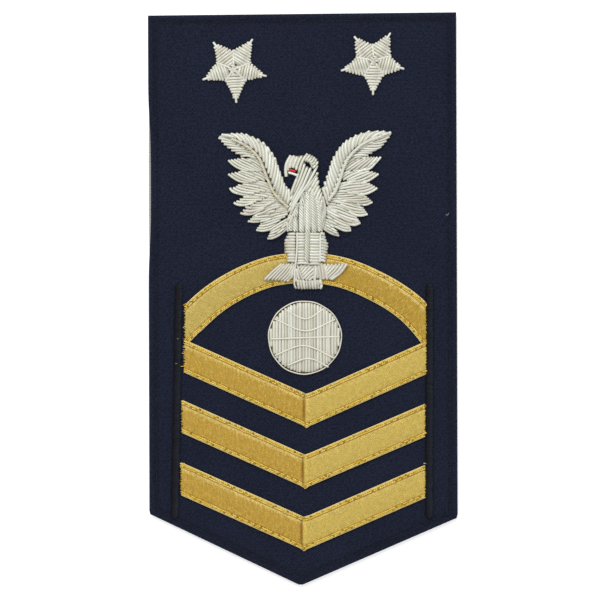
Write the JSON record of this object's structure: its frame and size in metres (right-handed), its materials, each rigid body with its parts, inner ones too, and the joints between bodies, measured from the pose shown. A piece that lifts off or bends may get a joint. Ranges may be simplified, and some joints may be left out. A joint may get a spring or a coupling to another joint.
{
  "type": "rank chevron patch",
  "caption": "Sleeve rank badge of dark blue twill, with gold lace chevrons under a gold lace arch and, in silver bullion, an eagle with spread wings, a globe and stars.",
  "frame": {"origin": "middle of the patch's extents, at its flat back face", "axes": "+X across the patch to the right as its face is seen, +Y to its top edge, +Z out of its face"},
  "size_m": [0.103, 0.1904, 0.0051],
  "materials": {
    "navy_twill": "matt wool twill, fine diagonal ribs",
    "backing_cloth": "matt plain-woven stiffening cloth",
    "black_satin_thread": "satin stitches laid side by side, soft sheen",
    "gold_lace": "woven metallic-yarn lace, satin centre between ribbed selvedges",
    "silver_bullion": "satin silver-coloured wire purl, cut and laid strand by strand",
    "rib_cord": "twisted dull metallic cord",
    "red_thread": "silky red embroidery thread"
  },
  "bodies": {
    "root": {"backing": "backing_cloth", "ground_cloth": "navy_twill", "binding_bar_left": "black_satin_thread", "binding_bar_right": "black_satin_thread", "arch_lace": "gold_lace", "chevron_lace_top": "gold_lace", "chevron_lace_middle": "gold_lace", "chevron_lace_bottom": "gold_lace", "star_left": "silver_bullion", "star_right": "silver_bullion", "wing_left_band": "silver_bullion", "wing_left_rib": "rib_cord", "wing_left_tip_feather": "silver_bullion", "wing_left_feather_1": "silver_bullion", "wing_left_feather_2": "silver_bullion", "wing_left_feather_3": "silver_bullion", "wing_left_feather_4": "silver_bullion", "wing_left_feather_5": "silver_bullion", "wing_left_feather_6": "silver_bullion", "wing_left_feather_7": "silver_bullion", "wing_left_feather_8": "silver_bullion", "wing_right_band": "silver_bullion", "wing_right_rib": "rib_cord", "wing_right_tip_feather": "silver_bullion", "wing_right_feather_1": "silver_bullion", "wing_right_feather_2": "silver_bullion", "wing_right_feather_3": "silver_bullion", "wing_right_feather_4": "silver_bullion", "wing_right_feather_5": "silver_bullion", "wing_right_feather_6": "silver_bullion", "wing_right_feather_7": "silver_bullion", "wing_right_feather_8": "silver_bullion", "head": "silver_bullion", "beak_upper": "silver_bullion", "beak_lower": "silver_bullion", "tongue": "red_thread", "breast": "silver_bullion", "thighs": "silver_bullion", "talon_left": "silver_bullion", "talon_middle": "silver_bullion", "talon_right": "silver_bullion", "tail": "silver_bullion", "globe": "silver_bullion", "globe_ring": "silver_bullion", "globe_wire_1": "silver_bullion", "globe_wire_2": "silver_bullion", "globe_wire_3": "silver_bullion", "globe_wire_4": "silver_bullion", "globe_wire_5": "silver_bullion"}
  },
  "joints": []
}
